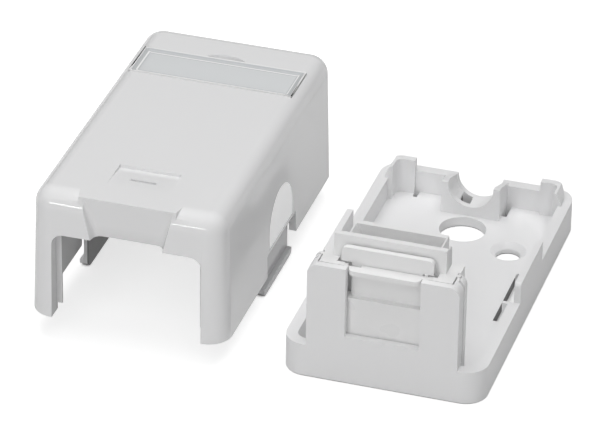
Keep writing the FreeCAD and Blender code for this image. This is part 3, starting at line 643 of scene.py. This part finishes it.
# %% Put the plastics on
frame_plastic = moulded_plastic("frame_plastic", (0.92, 0.92, 0.92), roughness=0.30, grain=0.10)
plug_plastic = moulded_plastic("plug_plastic", (0.91, 0.91, 0.91), roughness=0.28, grain=0.10)


def dress(node, material):
    """Put one material on every slot of a solid."""
    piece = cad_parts[node]
    if not piece.material_slots:
        piece.data.materials.append(material)
    for slot in piece.material_slots:
        slot.material = material
    print(node, "is dressed in", material.name)


dress("cover_shell", cover_plastic)
dress("base_tray", base_plastic)
dress("port_frame", frame_plastic)
dress("blanking_plug", plug_plastic)

# %% [markdown]
# ## The label window
# A clear strip lies over a slip of card. The border of the real one shows
# pale and dark lines, the light and shade on what are probably small steps.
# They could be modelled, but at a fifth of a millimetre they would cost many
# faces, so the distance from the strip's edge drives a Color Ramp of narrow
# bands: painted highlights and painted shade. The ramp sets the opacity too,
# and it is high: light bent through a thin pane needs many samples, so the
# middle is mostly a pale tone of its own and the card shows through a little.

# %% How far from the strip's edge
clear, tree, shader = surface("clear_plastic")
shader.inputs["IOR"].default_value = PLASTIC_IOR
shader.inputs["Roughness"].default_value = 0.08
x, y, _ = position(tree)
half_length = (window_right - window_left) / 2
half_width = (window_rear - window_front) / 2
from_end = maths(tree, "SUBTRACT", half_length, off_centre(tree, x, window_middle_x))
from_side = maths(tree, "SUBTRACT", half_width, off_centre(tree, y, window_middle_y))
from_edge = maths(tree, "MINIMUM", from_end, from_side)
print("window half sizes, mm:", round(half_length / MM, 2), round(half_width / MM, 2))

# %% Bands of colour and opacity, with painted highlights and shade
RAMP_LENGTH = 2.4 * MM
# the pale bands are painted highlights and the dark ones painted shade on the border's steps;
# the last stop is the middle's own tone
PAINTED_LIGHT_BANDS = (
    (0.00 * MM, (0.99, 0.99, 0.99), 0.95),
    (0.22 * MM, (0.98, 0.98, 0.98), 0.90),
    (0.34 * MM, (0.68, 0.70, 0.72), 0.75),
    (0.60 * MM, (0.82, 0.84, 0.86), 0.70),
    (0.95 * MM, (0.84, 0.86, 0.87), 0.70),
    (1.05 * MM, (0.99, 0.99, 0.99), 1.00),
    (1.25 * MM, (0.99, 0.99, 0.99), 1.00),
    (1.38 * MM, (0.70, 0.72, 0.74), 0.80),
    (1.62 * MM, (0.915, 0.935, 0.945), 0.80),
)

bands = tree.nodes.new("ShaderNodeValToRGB")
ramp = bands.color_ramp
while len(ramp.elements) < len(PAINTED_LIGHT_BANDS):
    ramp.elements.new(1)
for stop, (inset, colour, opacity) in zip(ramp.elements, PAINTED_LIGHT_BANDS):
    stop.position = inset / RAMP_LENGTH
    stop.color = (*colour, opacity)
tree.links.new(maths(tree, "DIVIDE", from_edge, RAMP_LENGTH), bands.inputs["Fac"])
tree.links.new(bands.outputs["Color"], shader.inputs["Base Color"])
tree.links.new(bands.outputs["Alpha"], shader.inputs["Alpha"])
print("bands on the window:", len(ramp.elements))
dress("label_window", clear)

# %% [markdown]
# ## The card
# The slip under the window is blank matt paper. Paper is felted fibre, so a
# fine Noise texture mixes two close whites, and a high roughness takes away
# any gloss.

# %% Card paper
FIBRE_SCALE = 1800
FIBRE_DARKER = (0.88, 0.90, 0.91)
FIBRE_LIGHTER = (0.94, 0.955, 0.96)

paper, tree, shader = surface("card_paper")
shader.inputs["Roughness"].default_value = 0.9
fibre = noise(tree, FIBRE_SCALE, FINE_DETAIL)
two_tones(tree, shader, fibre, FIBRE_DARKER, FIBRE_LIGHTER)
dress("label_card", paper)

# %% [markdown]
# ## Last settings
# The colours are meant to be read plainly, so the view transform is
# Standard. The box around everything is taken again at the end; the rounded
# edges make the whole no more than about a tenth of a millimetre larger.

# %% Finish
bpy.context.scene.view_settings.view_transform = "Standard"
low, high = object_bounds()
